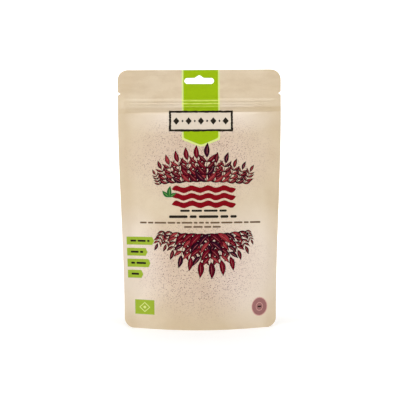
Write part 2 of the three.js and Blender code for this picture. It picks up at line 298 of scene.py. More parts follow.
def sway(u, v):
    """Front and back are welded in the fins and the header, so these bend together, front to back."""
    outward = np.abs(u)
    fins = smooth(FREE - 1, FREE + 5, outward) * smooth(4, 20, v)
    header = smooth(*HEADER_START, v)
    clear_of_zip = 1 - plateau(*ZIP_STRETCH, v) * (1 - smooth(*ZIP_END, outward))
    waves = sum(size * np.sin(v / length + shift * np.sign(u)) for size, length, shift in FIN_WAVES)
    ripples = 0.36 * np.sin(v / 4.6 + u / 21 + 1) + 0.42 * np.sin(u / 7 - v / 6) + 0.3 * np.sin(u / 17)
    bent_back = FIN_BEND * (np.maximum(0, outward - FREE) / SEAL) ** 2 * (1 - header)
    return (fins * waves * (1 - header) + header * ripples) * clear_of_zip + bent_back


sample = sway(np.full(5, 62.0), np.linspace(40, 160, 5))
print("sway of the right fin, mm:", np.round(sample, 2))

# %% [markdown]
# ## The wall as one function
#
# With the arch and the relief in hand, a single function places any point of the flat film in space.
# Everything on the film, from its edge to its print, goes through this function, so nothing can slip or
# float.

# %% Room for the layers between the walls

RIDGES = ((177.6, 0.25), (179.8, 0.55), (182.1, 0.6))
RIDGE_HALF = 0.6
FLANGE_SPAN = (FLANGE[0] - 1.3, FLANGE[0] - 0.1, FLANGE[1] + 0.3, FLANGE[1] + 7)
PROFILE_SPAN = (PROFILE[0] - 3.6, PROFILE[0] - 0.9, PROFILE[1] - 0.3, PROFILE[1] + 1.7)


def layer_room(u, v):
    """Room between the middle plane and a wall's inner face, for the layers that lie there."""
    outward = np.abs(u)
    leaf = LEAF_ROOM * (1 - smooth(LEAF, LEAF + 6, v)) * smooth(45, FREE, outward)
    zip_room = FLANGE_ROOM * plateau(*FLANGE_SPAN, v) + PROFILE_ROOM * plateau(*PROFILE_SPAN, v)
    ridges = sum(height * bell(middle, RIDGE_HALF, v) for middle, height in RIDGES)
    zip_share = 1 - smooth(FREE, FREE + 6, outward)
    ridge_share = 1 - smooth(FREE - 6, FREE + 1, outward)
    return WELD_GAP + leaf + zip_room * zip_share + ridges * ridge_share


sample = layer_room(np.zeros(4), np.array([90.0, 176.0, 180.0, 200.0]))
print("room at the middle, below, at and above the zip, mm:", np.round(sample, 2))

# %% Place points of the flat film in space

SEAL_SOFTNESS = 3.0
NEAR = 0.3


def lookup(table, row, column):
    """Reads a table between its rows and columns."""
    r = np.clip(row.astype(int), 0, table.shape[0] - 2)
    c = np.clip(column.astype(int), 0, table.shape[1] - 2)
    down = np.clip(row - r, 0, 1)
    along = np.clip(column - c, 0, 1)
    upper = table[r, c] * (1 - along) + table[r, c + 1] * along
    lower = table[r + 1, c] * (1 - along) + table[r + 1, c + 1] * along
    return upper * (1 - down) + lower * down


def arch_step(u, v):
    """Which share of the half chord the film at u, v has reached."""
    row = v / HEIGHT * (len(LEVELS) - 1)
    share = np.minimum(np.abs(u), FREE) / FREE
    return lookup(arch_place, row, share * (len(STEPS) - 1))


def inner_face(u, v, seed=None):
    """The front wall's inner face, in millimetres. seed picks its dents, and None leaves them out."""
    outward = np.abs(u)
    x = np.sign(u) * (np.interp(v, LEVELS, half_chords) * arch_step(u, v) + np.maximum(0, outward - FREE))
    before, here, after = [
        arch(arch_step(np.abs(outward + shift), v)) for shift in (-SEAL_SOFTNESS, 0, SEAL_SOFTNESS)
    ]
    out = bulge(v) * (before + 2 * here + after) / 4 + layer_room(u, v)
    if seed is not None:
        out = out + relief(u, v, seed) + shoulder(u, v)
    return np.stack([x, -out, np.interp(v, LEVELS, rises)], axis=-1)


def across_film(u, v, seed=None):
    """The way across the film at u, v, as a short step along its inner face."""
    return inner_face(np.minimum(u + NEAR, EDGE), v, seed) - inner_face(np.maximum(u - NEAR, -EDGE), v, seed)


def wall(u, v, off, seed):
    """A point of the front wall that lies off its inner face by this much, along its own normal."""
    up = inner_face(u, np.minimum(v + NEAR, HEIGHT), seed) - inner_face(u, np.maximum(v - NEAR, 0), seed)
    normal = np.cross(across_film(u, v, seed), up)
    normal /= np.linalg.norm(normal, axis=-1, keepdims=True)
    # Near the cut edge at the foot the thickness goes sideways only, so that the edge stands level.
    normal[..., 2:] *= smooth(0, 2, v)[..., None]
    point = inner_face(u, v, seed) + off * normal
    point[..., 1] += sway(u, v)
    return point


corner = wall(np.array([0.0]), np.array([0.0]), FILM, FRONT_DENTS)
print("front of the foot, mm:", np.round(corner[0], 2))

# %% [markdown]
# ## From a flat drawing to a mesh
#
# A sheet with holes, notches and crisp print is awkward as a grid of squares. Instead the whole flat
# drawing, its outline, holes and every printed shape, goes into a constrained Delaunay triangulation:
# Blender returns triangles that follow each line exactly and says which shapes each triangle lies in.
# The last shape drawn wins, as a later ink does. A regular field of extra points between the lines lets
# the sheet bend smoothly.

# %% Triangles of a flat drawing

ALL_TRIANGLES = 0
SAME_POINT = 1e-5
LONGEST_SIDE = 0.9


def field(us, vs):
    """A regular field of points, as pairs."""
    return [(float(u), float(v)) for v in vs for u in us]


def in_short_steps(shape):
    """The same closed outline in short sides, so that it follows the bent film."""
    points = []
    for (u, v), (next_u, next_v) in zip(shape, shape[1:] + shape[:1]):
        parts = max(1, math.ceil(math.hypot(next_u - u, next_v - v) / LONGEST_SIDE))
        points += [(u + (next_u - u) * i / parts, v + (next_v - v) * i / parts) for i in range(parts)]
    return points


def triangulate(outline, holes, printed, points):
    """Triangles of the flat drawing, and for each the number of the print it lies in, or -1."""
    corners = []
    shapes = []
    for shape in [outline, *holes, *[shape for shape, _ in printed]]:
        shape = in_short_steps(shape)
        shapes.append(list(range(len(corners), len(corners) + len(shape))))
        corners.extend(shape)
    corners.extend(points)
    vectors = [Vector(p) for p in corners]
    flat, _, faces, _, _, owners = delaunay_2d_cdt(vectors, [], shapes, ALL_TRIANGLES, SAME_POINT, True)
    first_print = 1 + len(holes)
    kept = []
    inks = []
    for face, owner in zip(faces, owners):
        if 0 not in owner or any(1 <= o < first_print for o in owner):
            continue
        kept.append(face)
        inks.append(max(owner) - first_print if max(owner) >= first_print else -1)
    return np.array([tuple(p) for p in flat]), np.array(kept), inks


small = triangulate([(0, 0), (1, 0), (1, 1), (0, 1)], [], [], [])[1]
print(f"a square of 1 mm gives {len(small)} triangles")

# %% [markdown]
# ## From triangles to a closed sheet
#
# Real film has a thickness, so each sheet gets an outer face, an inner face and a rim round every edge
# and hole. A solidify modifier could do that, but two calls of the placing function give both faces
# exactly, and each face can have its own material: print outside, and the plastic lining inside. Each
# point also keeps its place on the flat drawing, where the materials find it.

# %% Build a closed sheet of film

KRAFT_SLOT = 0
LINING_SLOT = 1
FIRST_INK_SLOT = 2
SHARP = math.radians(50)
UV_MARGIN = 0.005
SLIM = 0.64


def rim_of(triangles):
    """The directed edges that only one triangle has."""
    seen = {}
    for a, b, c in triangles.tolist():
        for edge in ((a, b), (b, c), (c, a)):
            seen[edge] = True
    return [edge for edge in seen if (edge[1], edge[0]) not in seen]


def remember_flat(mesh, flat):
    """Keeps each point's place on the flat drawing, and lays both faces out in one UV map."""
    drawn = np.zeros((2 * len(flat), 3), np.float32)
    drawn[:, :2] = np.vstack([flat, flat])
    mesh.attributes.new("flat", "FLOAT_VECTOR", "POINT").data.foreach_set("vector", drawn.ravel())
    spot = (flat - flat.min(0)) / float(np.ptp(flat, axis=0).max())
    if np.ptp(spot[:, 0]) < SLIM:
        side_by_side = [UV_MARGIN + 0.985 * spot, [SLIM, UV_MARGIN] + 0.55 * spot]
        layout = np.vstack(side_by_side)
    else:
        stacked = [UV_MARGIN + 0.78 * spot, [UV_MARGIN, 0.5] + 0.78 * spot]
        layout = np.vstack(stacked)
    loops = np.zeros(len(mesh.loops), np.int32)
    mesh.loops.foreach_get("vertex_index", loops)
    mesh.uv_layers.new(name="OFBake").data.foreach_set("uv", layout[loops].astype(np.float32).ravel())


def sheet(name, flat, triangles, place, inks, materials):
    """A closed sheet: place(u, v, off) gives its faces, and inks the material of each outer triangle."""
    used, triangles = np.unique(triangles, return_inverse=True)
    triangles = triangles.reshape(-1, 3)
    flat = flat[used]
    count = len(flat)
    outer = place(flat[:, 0], flat[:, 1], FILM)
    inner = place(flat[:, 0], flat[:, 1], 0.0)
    outer_faces = triangles.tolist()
    inner_faces = (triangles[:, ::-1] + count).tolist()
    rim_faces = [[b, a, a + count, b + count] for a, b in rim_of(triangles)]
    faces = outer_faces + inner_faces + rim_faces
    slots = inks + [LINING_SLOT] * len(inner_faces) + [KRAFT_SLOT] * len(rim_faces)
    mesh = bpy.data.meshes.new(name)
    mesh.from_pydata((np.vstack([outer, inner]) * MM).tolist(), [], faces)
    for material in materials:
        mesh.materials.append(material)
    mesh.polygons.foreach_set("material_index", slots)
    mesh.polygons.foreach_set("use_smooth", [True] * len(faces))
    mesh.set_sharp_from_angle(angle=SHARP)
    remember_flat(mesh, flat)
    piece = bpy.data.objects.new(name, mesh)
    bpy.context.scene.collection.objects.link(piece)
    print(f"{name}: {len(faces)} faces")
    return piece


# %% [markdown]
# ## Outline, hang hole and tear notches
#
# The die cuts round corners, a European hang hole with its little hump, and two notches that start a
# clean tear. A boolean cut would leave ragged triangles in such thin film, so the cuts are simply lines
# of the flat drawing, made of arcs.

# %% Draw what the die cuts

SLOT_WIDTH = 23.6
SLOT_HEIGHT = 4.7
SLOT_FLOOR = HEIGHT - 11.2
HUMP_HEIGHT = 2.1
HUMP_HALF = 4.2
HUMP_POINTS = 15
NOTCH_V = 188.2
NOTCH_DEEP = 2.2
NOTCH_HALF = 1.4
ARC_STEPS = 12


def arc(cu, cv, radius, start, end, steps=ARC_STEPS):
    """Points of an arc, angles in degrees."""
    angles = np.radians(np.linspace(start, end, steps + 1))
    return [(cu + radius * math.cos(a), cv + radius * math.sin(a)) for a in angles]


def round_corners(height):
    """The four corner arcs of a sheet of this height, anticlockwise from the bottom right one."""
    inset = EDGE - CORNER
    high = height - CORNER
    starts = ((inset, CORNER, -90), (inset, high, 0), (-inset, high, 90), (-inset, CORNER, 180))
    return [arc(u, v, CORNER, start, start + 90) for u, v, start in starts]


def panel_outline():
    """Once round a wall, anticlockwise from the bottom right corner, with a notch in each side."""
    low_right, high_right, high_left, low_left = round_corners(HEIGHT)
    right_notch = [(EDGE, NOTCH_V - NOTCH_HALF), (EDGE - NOTCH_DEEP, NOTCH_V), (EDGE, NOTCH_V + NOTCH_HALF)]
    left_notch = [(-u, v) for u, v in reversed(right_notch)]
    return low_right + right_notch + high_right + high_left + left_notch + low_left


def hang_hole():
    """The slot with round ends and a hump for the hook's wire."""
    end = SLOT_HEIGHT / 2
    straight = SLOT_WIDTH / 2 - end
    roof = SLOT_FLOOR + SLOT_HEIGHT
    humps = np.linspace(HUMP_HALF, -HUMP_HALF, HUMP_POINTS)
    hump = [(float(u), roof + HUMP_HEIGHT * math.cos(math.pi / 2 * u / HUMP_HALF) ** 2) for u in humps]
    right = arc(straight, SLOT_FLOOR + end, end, -90, 90)
    left = arc(-straight, SLOT_FLOOR + end, end, 90, 270)
    return right + hump + left


print(f"panel outline has {len(panel_outline())} points, hang hole {len(hang_hole())}")

# %% The field of points between the lines


def even_runs(*runs):
    """Places in even runs, each given as its first place, its last and how many there are."""
    return np.concatenate([np.linspace(*run) for run in runs])


PANEL_US = even_runs((-64.4, -54, 12), (-52.5, 52.5, 76), (54, 64.4, 12))
PANEL_VS = even_runs((0.7, 170, 125), (171, 189, 46), (190.4, 206.2, 13))
panel_field = field(PANEL_US, PANEL_VS)
print(f"{len(panel_field)} points in the field, closest together at the zip")

# %% [markdown]
# ## The print
#
# The print could be an image on the film, but an image blurs up close and can't be recoloured. Here
# each printed shape is an outline in the flat drawing and becomes triangles of the film itself, so its
# edge is sharp at any distance. Inks go down in order, and a later one covers an earlier one.

# %% Helpers that draw printed shapes

DASH_NICK = 0.3
prints = []


def ink(shape, name):
    """Adds a printed shape, later shapes over earlier ones."""
    prints.append(([(float(u), float(v)) for u, v in shape], name))


def turned(shape, angle, u, v):
    """The shape turned by an angle in radians and moved to u, v."""
    c = math.cos(angle)
    s = math.sin(angle)
    return [(u + a * c - b * s, v + a * s + b * c) for a, b in shape]


def almond(length, width, steps=7, bend=0.0):
    """A leaf from its stalk at 0, 0 along +u, widest before its middle, with a slight bend."""
    places = [i / steps for i in range(steps + 1)]
    half = [width / 2 * math.sin(math.pi * p**0.85) for p in places]
    spine = [bend * length * math.sin(math.pi * p) for p in places]
    lower = [(length * p, s - h) for p, s, h in zip(places, spine, half)]
    upper = [(length * p, s + h) for p, s, h in zip(places, spine, half)][1:-1]
    return lower + upper[::-1]


def lozenge(u, v, half_u, half_v):
    """A square on its point, stretched to these half sizes."""
    return [(u - half_u, v), (u, v - half_v), (u + half_u, v), (u, v + half_v)]


def dash(u, v, length, height):
    """A short dash with soft corners, from u to the right."""
    nick = min(height, length) * DASH_NICK
    end = u + length
    low = v - height / 2
    high = v + height / 2
    under = [(u + nick, low), (end - nick, low), (end, low + nick), (end, high - nick)]
    over = [(end - nick, high), (u + nick, high), (u, high - nick), (u, low + nick)]
    return under + over


def dashes(v, left, right, height, seed, name):
    """A row of dashes of mixed length, from left to right."""
    draw = random.Random(seed)
    u = left
    while u < right - 1.2 * height:
        length = min(draw.uniform(1.6, 7.5) * height, right - u)
        ink(dash(u, v, length, height), name)
        u += length + 0.8 * height


def box_corners(low_u, low_v, high_u, high_v):
    """The corners of a box, anticlockwise from its lower left one."""
    return [(low_u, low_v), (high_u, low_v), (high_u, high_v), (low_u, high_v)]


def box_middle(low_u, low_v, high_u, high_v):
    """The middle of a box."""
    return (low_u + high_u) / 2, (low_v + high_v) / 2


print(f"a leaf has {len(almond(10, 3))} points and a dash {len(dash(0, 0, 5, 1))}")

# %% [markdown]
# ### The hanging tag and its plate
#
# A green tag with a blunt point hangs from the top edge, with a paler edge round it. A cream plate with
# a dark border lies across it. Its border wavers as if it were drawn by hand, because a ruled one looks
# too new.

# %% The hanging tag and the plate

TAG_MIDDLE = 1.2
TAG_HALF = 13.8
TAG_SHOULDER = 151.7
TAG_POINT = 146.8
TAG_EDGE = 1.3
PLATE = (-24.2, 157.35, 26.7, 174.45)
BORDER = 1.75
BORDER_STEPS = 26
LOZENGE_SPACING = 4.9


def tag_shape(grow):
    """The pennant from the top edge down to its blunt point, grown by this much, with soft corners."""
    half = TAG_HALF + grow
    low = TAG_SHOULDER - grow
    point = TAG_POINT - 1.2 * grow
    soft_corner = [(half - 1.6, low - 0.3), (half - 0.4, low + 0.5), (half, low + 1.6)]
    right = [(1.6, point + 0.2), *soft_corner, (half, HEIGHT - 0.02)]
    left = [(-u, v) for u, v in reversed(right)]
    return [(TAG_MIDDLE + u, v) for u, v in [(0, point), *right, *left]]


def rough_box(box, rough, seed):
    """A box whose edges waver as if drawn by hand."""
    draw = random.Random(seed)
    shape = []
    corners = box_corners(*box)
    for (u, v), (next_u, next_v) in zip(corners, corners[1:] + corners[:1]):
        for i in range(BORDER_STEPS):
            p = i / BORDER_STEPS
            near_u = u + (next_u - u) * p + draw.uniform(-rough, rough)
            near_v = v + (next_v - v) * p + draw.uniform(-rough, rough)
            shape.append((near_u, near_v))
    return shape


ink(tag_shape(TAG_EDGE), "pale_green")
ink(tag_shape(0.0), "tag_green")
ink(rough_box(PLATE, 0.22, 5), "dark_ink")
inner_plate = (PLATE[0] + BORDER, PLATE[1] + BORDER, PLATE[2] - BORDER, PLATE[3] - BORDER)
ink(rough_box(inner_plate, 0.16, 6), "cream")
plate_u, plate_v = box_middle(*PLATE)
for i in range(-4, 5):
    size = 2.5 if i % 2 == 0 else 0.9
    ink(lozenge(plate_u + LOZENGE_SPACING * i, plate_v, size, size * 1.2), "dark_ink")
print(f"{len(prints)} printed shapes so far")

# %% [markdown]
# ### The garlands
#
# A garland is a row of sprigs that lean out from a curve, and a sprig is a stalk with pairs of leaves.
# Each leaf is printed three times: a dark outline, a mid tone inside it, and a pale vein. The outer
# sprigs go down first, so that the middle of the garland lies on top.

# %% Draw leaves and sprigs

LEAF_TONES = ("maroon", "crimson_leaf", "plum", "maroon", "crimson_leaf", "rose")
LEAF_PAIRS = 4
OUTLINE = 0.58


def printed_leaf(u, v, angle, length, width, tone, bend):
    """One leaf: its dark outline, its tone and its vein."""
    ink(turned(almond(length, width, 8, bend), angle, u, v), "dark_maroon")
    fill = [(a + OUTLINE, b) for a, b in almond(length - 2.2 * OUTLINE, width - 1.6 * OUTLINE, 7, bend)]
    ink(turned(fill, angle, u, v), tone)
    vein = [(a + 0.18 * length, b) for a, b in almond(0.62 * length, 0.34, 4, bend * 0.75)]
    ink(turned(vein, angle, u, v), "pale_rose")


def sprig(u, v, angle, length, draw):
    """A tapering stalk with pairs of leaves and one at its tip."""
    base = length * 0.05
    stalk = [(base, -0.35), (length * 0.9, -0.12), (length * 0.9, 0.12), (base, 0.35)]
    ink(turned(stalk, angle, u, v), "dark_maroon")
    for i in range(LEAF_PAIRS):
        along = length * (0.04 + 0.74 * i / LEAF_PAIRS)
        place = turned([(along, 0)], angle, u, v)[0]
        for side in (-1, 1):
            lean = angle + side * draw.uniform(0.62, 0.85)
            size = length * draw.uniform(0.38, 0.46) * (1.05 - 0.35 * i / LEAF_PAIRS)
            tone = draw.choice(LEAF_TONES)
            printed_leaf(*place, lean, size, size * draw.uniform(0.29, 0.37), tone, side * 0.07)
    tip = turned([(length * 0.72, 0)], angle, u, v)[0]
    printed_leaf(*tip, angle, length * 0.42, length * 0.16, draw.choice(LEAF_TONES), 0.04)


print(f"a sprig has {2 * LEAF_PAIRS + 1} leaves")

# %% Draw the two garlands

SPRIGS = 12
GARLAND_HALF = 33
LENGTH_SPREAD = (-4.5, 1.5)


def garland(curve, fan, middle_length, end_length, seed):
    """Sprigs along curve(p), p from -1 to 1, that fan out from upright by up to fan radians."""
    draw = random.Random(seed)
    places = [2 * i / (SPRIGS - 1) - 1 for i in range(SPRIGS)]
    for p in sorted(places, key=abs, reverse=True):
        u, v, up = curve(p)
        share = math.cos(p * math.pi / 2)
        length = end_length + (middle_length - end_length) * share + draw.uniform(*LENGTH_SPREAD)
        sprig(u, v, up - fan * p, length, draw)


def upper_curve(p):
    """A low arch, its sprigs upright."""
    return 2.0 + GARLAND_HALF * p, 114.6 + 0.8 * (1 - p * p), math.pi / 2


def lower_curve(p):
    """A shallow bowl, its sprigs hanging down."""
    return 4.5 + GARLAND_HALF * p, 78.4 - 1.2 * (1 - p * p), -math.pi / 2


garland(upper_curve, fan=0.5, middle_length=28, end_length=16, seed=21)
garland(lower_curve, fan=-0.5, middle_length=33, end_length=15, seed=22)
print(f"{len(prints)} printed shapes so far")

# %% [markdown]
# ### Waves, a green sprig and rows of dashes
#
# Between the garlands lie three crimson waves with a green sprig beside them, and four rows of dashes.
# A wave is a band along a sine, thick in the middle, with a little random roughness like the edge of a
# brush stroke.

# %% Draw the waves, the green sprig and the dashes

WAVE_LEFT = -22.1
WAVE_RIGHT = 28.9
WAVE_THICK = 4.3
WAVE_RISE = 0.9
WAVE_CRESTS = 4
WAVE_STEPS = 44
WAVE_ROUGH = 0.12
WAVES = ((111.0, 40), (105.0, 41), (99.0, 42))
GREEN_SPRIG = (-24.0, 104.6)
GREEN_LEAVES = ((2.4, 8.0), (1.5, 9.2), (0.55, 6.5))
DASH_ROWS = (
    (93.9, -15.5, 21.5, 1.7, 61, "dark_ink"),
    (89.2, -24.5, 29.5, 2.1, 62, "dark_ink"),
    (84.4, -49.4, 52.4, 1.4, 63, "brown_ink"),
    (81.1, -12.5, 16.5, 1.4, 64, "brown_ink"),
)


def wave_band(v, seed):
    """A brushed wave, thick in the middle and thin at its ends."""
    draw = random.Random(seed)
    upper = []
    lower = []
    for i in range(WAVE_STEPS + 1):
        p = i / WAVE_STEPS
        u = WAVE_LEFT + (WAVE_RIGHT - WAVE_LEFT) * p
        body = WAVE_THICK / 2 * min(1, 3.2 * math.sin(math.pi * p) ** 0.7 + 0.06)
        rise = WAVE_RISE * math.sin(2 * math.pi * WAVE_CRESTS * p)
        upper.append((u, v + rise + body + draw.uniform(-WAVE_ROUGH, WAVE_ROUGH)))
        lower.append((u, v + rise - body + draw.uniform(-WAVE_ROUGH, WAVE_ROUGH)))
    return lower + upper[::-1]


for v, seed in WAVES:
    ink(wave_band(v, seed), "crimson")
for angle, length in GREEN_LEAVES:
    vein = [(a + 1, b) for a, b in almond(length * 0.7, 0.4, 4, 0.05)]
    ink(turned(almond(length, length * 0.42, 7, 0.06), angle, *GREEN_SPRIG), "deep_green")
    ink(turned(vein, angle, *GREEN_SPRIG), "leaf_green")
for row in DASH_ROWS:
    dashes(*row)
print(f"{len(prints)} printed shapes so far")

# %% [markdown]
# ### Flags, square and badge
#
# Four green flags with pointed ends stand at the left edge, and a square and a round badge at the foot.
# The badge looks narrow from the front only because the wall curves away there: on the flat drawing it
# is a true circle.

# %% Draw the small marks

FLAG_LEFT = -61.6
FLAG_POINT = 0.55
FLAGS = ((73.0, 66.6, -37.3), (64.0, 57.8, -43.4), (55.3, 48.8, -41.0), (46.4, 40.1, -47.8))
SQUARE = (-56.1, 11.3, -37.9, 22.8)
SQUARE_MARKS = ((4.0, "pale_green"), (3.2, "flag_green"), (1.3, "pale_green"))
BADGE = (50.5, 16.9)
BADGE_SIDES = 24
BADGE_RINGS = ((7.5, "badge_rim"), (6.8, "badge"), (3.4, "badge_rim"), (2.9, "badge"))

for top, low, tip in FLAGS:
    half = (top - low) / 2
    neck = tip - FLAG_POINT * half
    ink([(FLAG_LEFT, low), (neck, low), (tip, low + half), (neck, top), (FLAG_LEFT, top)], "flag_green")
    dashes(low + half, FLAG_LEFT + 3, tip - 4, 1.6, int(top), "dark_ink")

ink(box_corners(*SQUARE), "flag_green")
for reach, name in SQUARE_MARKS:
    ink(lozenge(*box_middle(*SQUARE), 1.3 * reach, reach), name)

for radius, name in BADGE_RINGS:
    ink(arc(*BADGE, radius, 0, 360 - 360 / BADGE_SIDES, BADGE_SIDES - 1), name)
dashes(BADGE[1], BADGE[0] - 1.6, BADGE[0] + 1.9, 1.1, 9, "dark_ink")
print(f"{len(prints)} printed shapes in all")

# %% [markdown]
# ## Materials
#
# All finishes of the film are noise in the coordinates of the flat drawing, so they run on unbroken
# from the paper into the inks and bend with the film. Shader trees are quickly unreadable when every
# node is set by hand, so a small class holds one material and has a short method for each step that
# comes back.

# %% Small helpers for shader nodes


def linear(level):
    """A screen level, 0 to 255, as the linear level that shaders use."""
    share = level / 255
    return share / 12.92 if share <= 0.04045 else ((share + 0.055) / 1.055) ** 2.4


def colour(red, green, blue):
    """A screen colour as the opaque linear colour that shaders use."""
    return [linear(red), linear(green), linear(blue), 1.0]


class Look:
    """One material under construction."""

    def __init__(self, name, roughness, specular=0.5):
        self.material = bpy.data.materials.new(name)
        self.material.use_nodes = True
        self.tree = self.material.node_tree
        self.shader = self.tree.nodes["Principled BSDF"]
        self.shader.inputs["Roughness"].default_value = roughness
        self.shader.inputs["Specular IOR Level"].default_value = specular

    def node(self, kind, **values):
        """A new node, with its sockets or properties set."""
        made = self.tree.nodes.new(kind)
        for key, value in values.items():
            if hasattr(made, key):
                setattr(made, key, value)
            else:
                made.inputs[key].default_value = value
        return made

    def link(self, start, end):
        """Joins two sockets."""
        self.tree.links.new(start, end)

    def feed(self, socket, value):
        """Gives a socket its value, which is another socket or a constant."""
        if isinstance(value, bpy.types.NodeSocket):
            self.link(value, socket)
        else:
            socket.default_value = value

    def flat(self, stretch=(1, 1, 1)):
        """The place on the flat drawing in millimetres, stretched for grain."""
        source = self.node("ShaderNodeAttribute", attribute_name="flat")
        scaled = self.node("ShaderNodeVectorMath", operation="MULTIPLY")
        scaled.inputs[1].default_value = stretch
        self.link(source.outputs["Vector"], scaled.inputs[0])
        return scaled.outputs["Vector"]

    def place(self):
        """The place in space, in metres."""
        return self.node("ShaderNodeTexCoord").outputs["Object"]

    def axes(self, vector):
        """The X and Y of a vector: on the flat drawing these are u and v."""
        split = self.node("ShaderNodeSeparateXYZ")
        self.link(vector, split.inputs[0])
        return split.outputs["X"], split.outputs["Y"]

    def noise(self, vector, scale, detail=2.0, roughness=0.5):
        """Cloudy noise, about 0.5 on average."""
        made = self.node("ShaderNodeTexNoise", Scale=scale, Detail=detail, Roughness=roughness)
        self.link(vector, made.inputs["Vector"])
        return made.outputs["Fac"]

    def ramp(self, value, *stops):
        """Turns a value into a grey by (place, grey) stops."""
        made = self.node("ShaderNodeValToRGB")
        points = made.color_ramp.elements
        while len(points) < len(stops):
            points.new(0.5)
        for point, (where, grey) in zip(points, stops):
            point.position = where
            point.color = (grey, grey, grey, 1)
        self.link(value, made.inputs["Fac"])
        return made.outputs["Color"]

    def patches(self, vector, scale, low, high, detail=3.0, roughness=0.5):
        """Soft patches: 0 where the noise is under low, and 1 where it is over high."""
        return self.ramp(self.noise(vector, scale, detail, roughness), (low, 0.0), (high, 1.0))

    def rescale(self, value, low, high, to_low=0.0, to_high=1.0):
        """Takes a value that runs from low to high to one that runs from to_low to to_high."""
        made = self.node("ShaderNodeMapRange")
        for key, number in (("From Min", low), ("From Max", high), ("To Min", to_low), ("To Max", to_high)):
            made.inputs[key].default_value = number
        self.link(value, made.inputs["Value"])
        return made.outputs[0]

    def mix(self, share, first, second, blend="MIX"):
        """Mixes two colours or sockets by a share that is a socket or a number."""
        made = self.node("ShaderNodeMix", data_type="RGBA", blend_type=blend)
        for socket, value in ((made.inputs[0], share), (made.inputs[6], first), (made.inputs[7], second)):
            self.feed(socket, value)
        return made.outputs[2]

    def lightest(self, first, *others):
        """The lightest of several greys at each point."""
        for other in others:
            first = self.mix(1.0, first, other, "LIGHTEN")
        return first

    def calculate(self, operation, *values):
        """One step of arithmetic on sockets or numbers."""
        made = self.node("ShaderNodeMath", operation=operation)
        for socket, value in zip(made.inputs, values):
            self.feed(socket, value)
        return made.outputs[0]

    def times(self, first, second):
        """The product of two sockets or numbers."""
        return self.calculate("MULTIPLY", first, second)

    def bump(self, height, strength, distance, below=None):
        """A normal bent by a height, on top of another bump if there is one below."""
        made = self.node("ShaderNodeBump", Strength=strength, Distance=distance)
        self.link(height, made.inputs["Height"])
        if below is not None:
            self.link(below, made.inputs["Normal"])
        return made.outputs["Normal"]

    def finish(self, base, normal):
        """Gives the shader its colour and normal, and returns the material."""
        self.link(base, self.shader.inputs["Base Color"])
        self.link(normal, self.shader.inputs["Normal"])
        return self.material


def paper_tooth(look):
    """The fine relief of paper: short fibres across and along, and a soft crumple."""
    across = look.noise(look.flat((0.9, 5.0, 1)), 1.1, 3.0)
    along = look.noise(look.flat((4.4, 0.8, 1)), 1.0, 3.0)
    crumple = look.noise(look.flat(), 0.16, 4.0, 0.55)
    fibres = look.bump(look.mix(0.5, across, along), 0.35, 0.00012)
    return look.bump(crumple, 0.5, 0.0009, fibres)


print("white as a shader colour:", colour(255, 255, 255))

# %% [markdown]
# ### Where kraft film turns darker
#
# Film that is welded to another layer lets less light back out, so it turns a little darker in the side
# seals and at the foot. Painted shade is laid over this: a few millimetres in from the side seals, where
# the wall bends sharply, and over the middle of the foot, where less light falls. A thin band of painted
# crease shade lies under the zip's flange, and the header has soft patches of painted shade for its
# crumples. Each place is a mask on the flat drawing, and the kraft's colour is mixed towards a darker one
# there.

# %% Masks for the welds and the painted shade

# Welded darkening in the side seals, with painted shade reaching 7 mm in from them.
FIN_WELD_AND_SHADE = (FREE - 7, FREE + 1)
FIN_WELD_AND_SHADE_SHARE = 0.27
# Welded darkening at the foot, with painted shade over its middle.
FOOT_WELD_AND_SHADE = (0, -8, 52, 36)
FOOT_WELD_AND_SHADE_SHARE = 0.4
# Painted shade of the header's crumples, fading in over these heights.
HEADER = (184.0, 190.0)
CRUMPLE_SHADE_SHARE = 0.45
# Painted crease shade in a band under the zip's flange, stronger to the right.
CREASE_SHADE_BAND = (FLANGE[0] - 2.5, FLANGE[0] + 5.5)
CREASE_SHADE_TILT = 0.012
CREASE_SHADE_SHARES = (0.35, 0.65)


def ellipse_mask(look, middle_u, middle_v, half_u, half_v):
    """1 in the middle of an ellipse on the flat drawing, fading out to its edge."""
    moved = look.node("ShaderNodeVectorMath", operation="SUBTRACT")
    moved.inputs[1].default_value = (middle_u, middle_v, 0)
    look.link(look.flat(), moved.inputs[0])
    scaled = look.node("ShaderNodeVectorMath", operation="DIVIDE")
    scaled.inputs[1].default_value = (half_u, half_v, 1)
    look.link(moved.outputs[0], scaled.inputs[0])
    length = look.node("ShaderNodeVectorMath", operation="LENGTH")
    look.link(scaled.outputs[0], length.inputs[0])
    return look.ramp(length.outputs["Value"], (0.45, 1.0), (1.0, 0.0))


def weld_and_shade_mask(look):
    """How much darker the welded seals and foot are, with painted shade beside the seals and mid-foot."""
    u = look.axes(look.flat())[0]
    fins = look.rescale(look.calculate("ABSOLUTE", u), *FIN_WELD_AND_SHADE)
    foot = ellipse_mask(look, *FOOT_WELD_AND_SHADE)
    return look.calculate("MAXIMUM", look.times(fins, FIN_WELD_AND_SHADE_SHARE), look.times(foot, FOOT_WELD_AND_SHADE_SHARE))


def painted_crumple_shade(look):
    """Soft patches of painted shade in the header, standing in for its crumples."""
    v = look.axes(look.flat())[1]
    smudges = look.patches(look.flat((0.6, 1.5, 1)), 0.08, 0.44, 0.62, roughness=0.6)
    return look.times(look.times(smudges, look.rescale(v, *HEADER)), CRUMPLE_SHADE_SHARE)


def painted_crease_shade(look):
    """How much painted crease shade darkens the band under the zip's flange. It falls a little to the left.
    """
    u, v = look.axes(look.flat())
    height = look.rescale(look.calculate("SUBTRACT", v, look.times(u, CREASE_SHADE_TILT)), *CREASE_SHADE_BAND)
    band = look.ramp(height, (0.02, 0.0), (0.2, 1.0), (0.56, 1.0), (0.72, 0.0))
    return look.times(band, look.rescale(u, -EDGE, EDGE, *CREASE_SHADE_SHARES))


print(f"fins mixed by {FIN_WELD_AND_SHADE_SHARE}, foot by {FOOT_WELD_AND_SHADE_SHARE}, band by {CREASE_SHADE_SHARES}")
